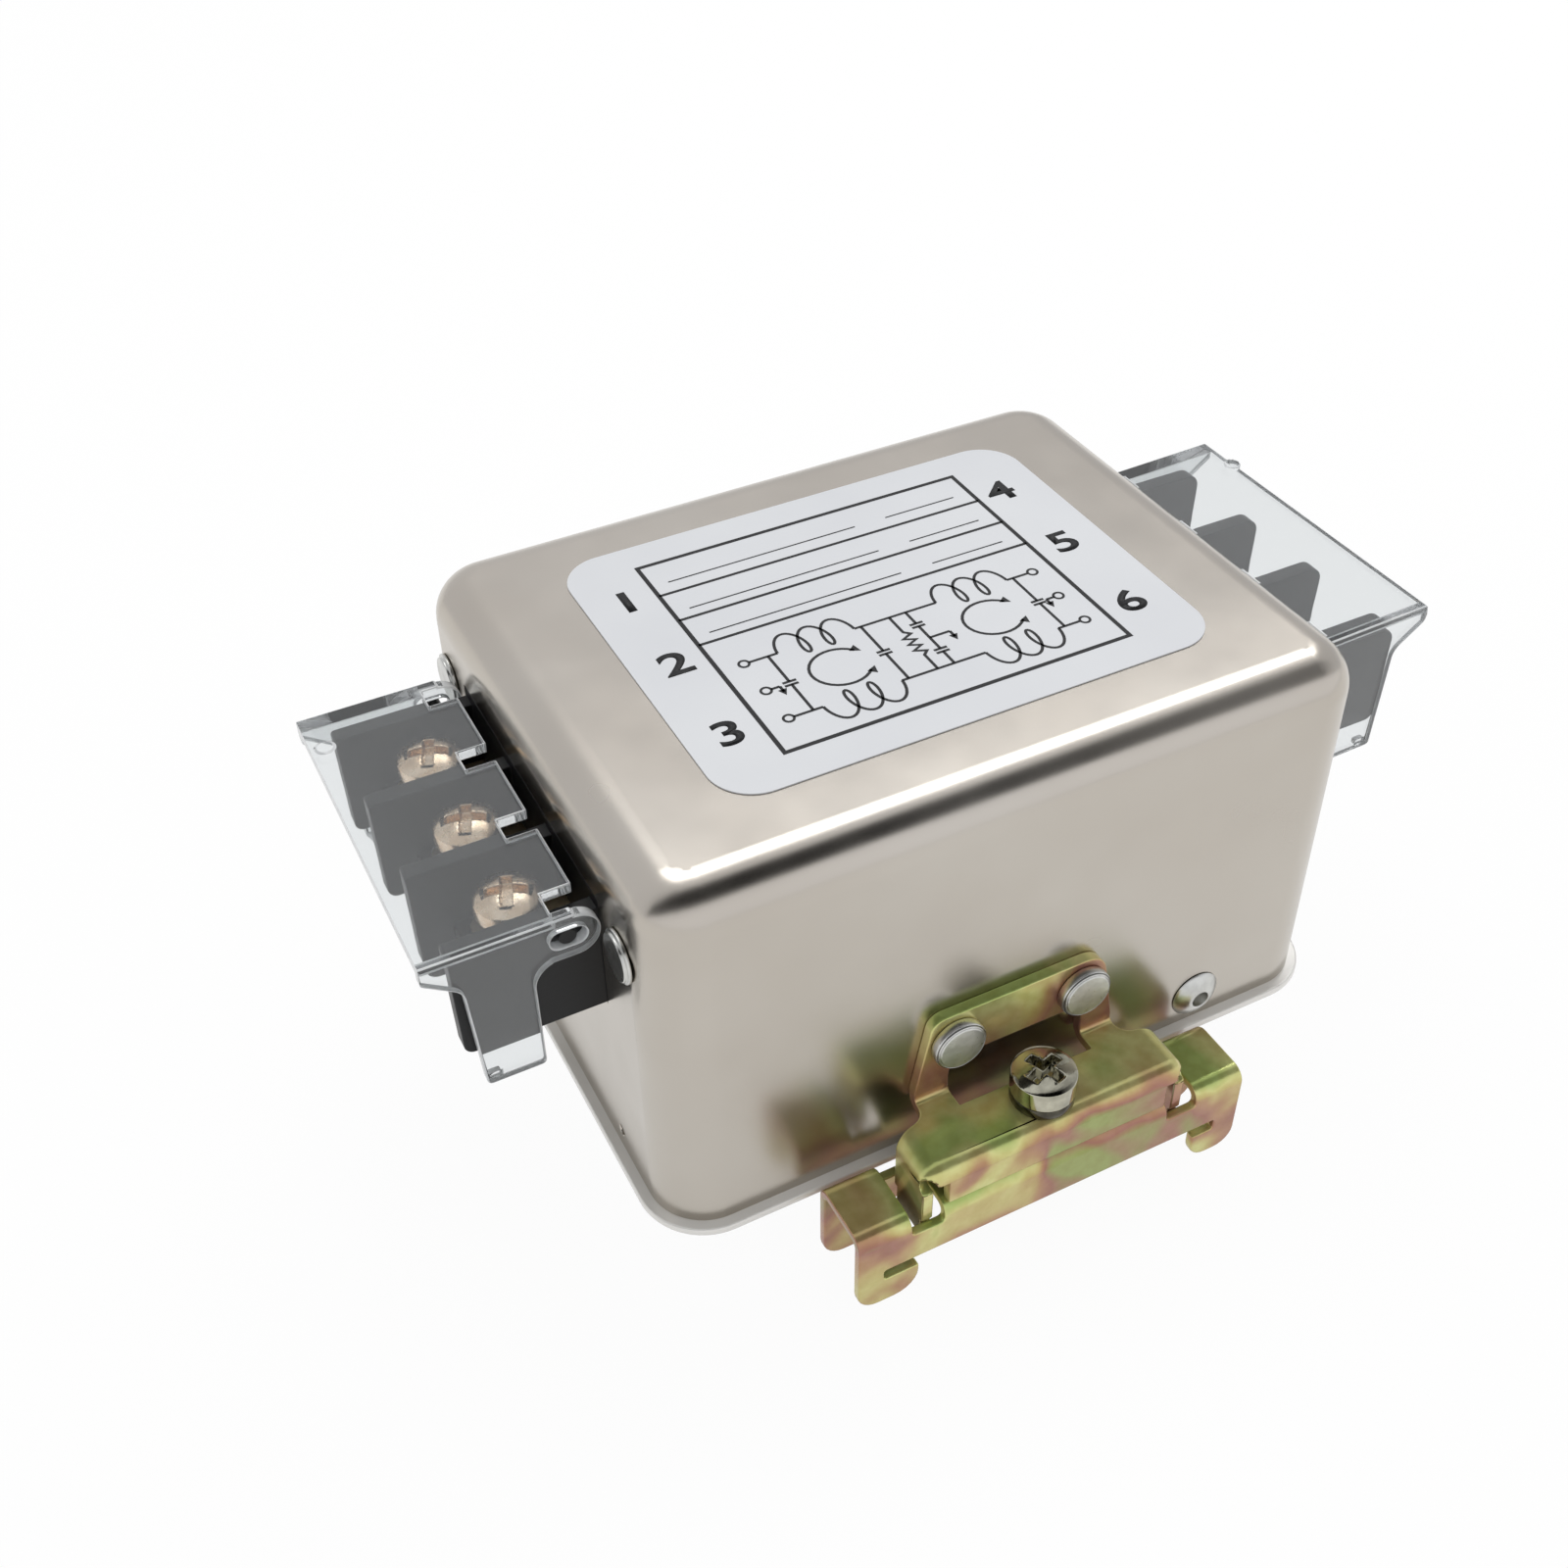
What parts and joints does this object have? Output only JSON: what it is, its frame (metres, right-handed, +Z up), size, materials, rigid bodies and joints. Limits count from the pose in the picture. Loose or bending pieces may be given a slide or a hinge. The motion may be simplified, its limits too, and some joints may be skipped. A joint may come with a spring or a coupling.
{
  "type": "EMI line filter",
  "caption": "Two-stage EMI line filter: steel can with a rating label, a barrier block under a hinged clear cover at each end, and stamped clips for a 35 mm rail.",
  "frame": {"origin": "on the surface that the rail clips' hooks stand on, under the middle of the can", "axes": "+X from the line end to the load end, +Y from the front clip to the rear clip, +Z up out of the rail"},
  "size_m": [0.1087, 0.078, 0.0501],
  "materials": {
    "can": "satin",
    "tinned_sheet": "satin",
    "label": "satin",
    "block_plastic": "matte",
    "terminal_metal": "satin",
    "terminal_screw": "satin",
    "cover_clear": "clear",
    "yellow_chromate": "satin",
    "rivet_metal": "satin",
    "spring_steel": "satin",
    "plated_screw": "bright",
    "board_green": "matte",
    "nylon": "matte",
    "ferrite": "matte",
    "copper_wire": "satin",
    "film_box": "matte",
    "disc_blue": "gloss",
    "resistor_body": "matte"
  },
  "bodies": {
    "filter": {"can": "can", "base_plate": "tinned_sheet", "base_rivets": "rivet_metal", "rating_label": "label", "line_block": "block_plastic", "load_block": "block_plastic", "line_block_rivets": "rivet_metal", "load_block_rivets": "rivet_metal", "line_terminal_1": "terminal_metal", "line_terminal_2": "terminal_metal", "line_terminal_3": "terminal_metal", "load_terminal_1": "terminal_metal", "load_terminal_2": "terminal_metal", "load_terminal_3": "terminal_metal", "line_screw_1": "terminal_screw", "line_screw_2": "terminal_screw", "line_screw_3": "terminal_screw", "load_screw_1": "terminal_screw", "load_screw_2": "terminal_screw", "load_screw_3": "terminal_screw", "front_bracket": "yellow_chromate", "rear_bracket": "yellow_chromate", "front_bracket_rivets": "rivet_metal", "rear_bracket_rivets": "rivet_metal", "front_rail_clip": "yellow_chromate", "rear_rail_clip": "yellow_chromate", "front_rail_spring": "spring_steel", "rear_rail_spring": "spring_steel", "front_clip_screw": "plated_screw", "rear_clip_screw": "plated_screw", "front_spring_washer": "plated_screw", "rear_spring_washer": "plated_screw", "circuit_board": "board_green", "board_supports": "nylon", "line_choke_core": "ferrite", "load_choke_core": "ferrite", "line_choke_winding_1": "copper_wire", "line_choke_winding_2": "copper_wire", "load_choke_winding_1": "copper_wire", "load_choke_winding_2": "copper_wire", "x_capacitor_1": "film_box", "x_capacitor_2": "film_box", "x_capacitor_3": "film_box", "y_capacitor_1": "disc_blue", "y_capacitor_2": "disc_blue", "bleed_resistor": "resistor_body", "line_leads": "copper_wire", "load_leads": "copper_wire", "earth_lug": "tinned_sheet"},
    "line_cover": {"line_cover": "cover_clear"},
    "load_cover": {"load_cover": "cover_clear"}
  },
  "joints": [
    {"name": "line_cover_hinge", "type": "hinge", "parent": "filter", "child": "line_cover", "pos_m": [-0.0406, 0, 0.0404], "axis": [0, 1, 0], "range_deg": [0, 90]},
    {"name": "load_cover_hinge", "type": "hinge", "parent": "filter", "child": "load_cover", "pos_m": [0.0406, 0, 0.0404], "axis": [0, -1, 0], "range_deg": [-1.5, 88.5]}
  ]
}
